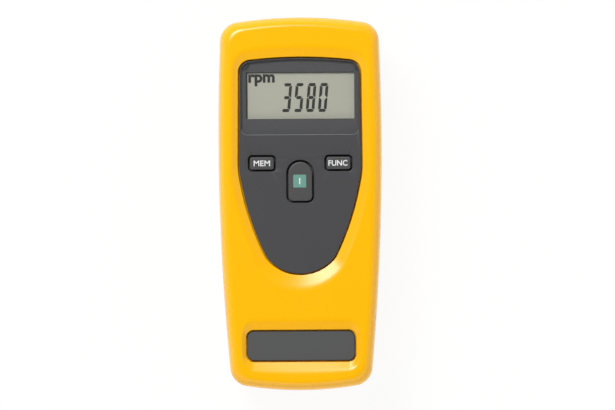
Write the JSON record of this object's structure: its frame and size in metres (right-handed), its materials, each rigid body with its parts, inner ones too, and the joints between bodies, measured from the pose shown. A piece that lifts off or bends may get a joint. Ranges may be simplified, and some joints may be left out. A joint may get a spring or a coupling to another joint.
{
  "type": "laser tachometer",
  "caption": "Hand-held laser tachometer with a display, keys, optics in its head end, a sliding battery door and a tripod bush.",
  "frame": {"origin": "middle of the flat back", "axes": "+X to the right of the display, +Y towards the sensor end, +Z out of the display face"},
  "size_m": [0.0614, 0.1399, 0.04],
  "materials": {
    "case_yellow": "satin",
    "panel_grey": "matte",
    "key_grey": "matte",
    "lens_clear": "polished",
    "lcd_green": "satin",
    "black_plastic": "matte",
    "plunger_ivory": "matte",
    "strip_pink": "matte",
    "board_green": "satin",
    "bright_metal": "bright",
    "brass": "machined",
    "lens_red": "polished",
    "cell_wrap": "satin"
  },
  "bodies": {
    "housing": {"front_case": "case_yellow", "rear_case": "case_yellow", "front_panel": "panel_grey", "name_plate": "panel_grey", "display_lens": "lens_clear", "laser_lens": "lens_clear", "lcd_glass": "lcd_green", "lcd_frame": "black_plastic", "memory_switch": "black_plastic", "function_switch": "black_plastic", "measure_switch": "black_plastic", "processor_chip": "black_plastic", "supply_capacitor": "black_plastic", "sensor_bezel": "black_plastic", "optics_block": "black_plastic", "board_link": "black_plastic", "photodiode": "black_plastic", "contact_strips": "strip_pink", "main_board": "board_green", "sensor_board": "board_green", "timing_crystal": "bright_metal", "board_screws": "bright_metal", "optics_screws": "bright_metal", "case_screws": "bright_metal", "battery_springs": "bright_metal", "bridge_contact": "bright_metal", "positive_contact": "bright_metal", "negative_contact": "bright_metal", "tripod_bush": "brass", "laser_barrel": "brass", "receiver_lens": "lens_red", "battery_left": "cell_wrap", "battery_right": "cell_wrap"},
    "memory_key": {"memory_key": "key_grey", "memory_plunger": "plunger_ivory"},
    "function_key": {"function_key": "key_grey", "function_plunger": "plunger_ivory"},
    "measure_key": {"measure_key": "key_grey", "measure_plunger": "plunger_ivory"},
    "battery_door": {"battery_door": "case_yellow"}
  },
  "joints": [
    {"name": "memory_key_press", "type": "slide", "parent": "housing", "child": "memory_key", "axis": [0, 0, -1], "range_m": [0, 0.0006], "stiffness_N_per_m": 2500},
    {"name": "function_key_press", "type": "slide", "parent": "housing", "child": "function_key", "axis": [0, 0, -1], "range_m": [0, 0.0006], "stiffness_N_per_m": 2500},
    {"name": "measure_key_press", "type": "slide", "parent": "housing", "child": "measure_key", "axis": [0, 0, -1], "range_m": [0, 0.0006], "stiffness_N_per_m": 2500},
    {"name": "door_slide", "type": "slide", "parent": "housing", "child": "battery_door", "axis": [0, -1, 0], "range_m": [0, 0.07]}
  ]
}
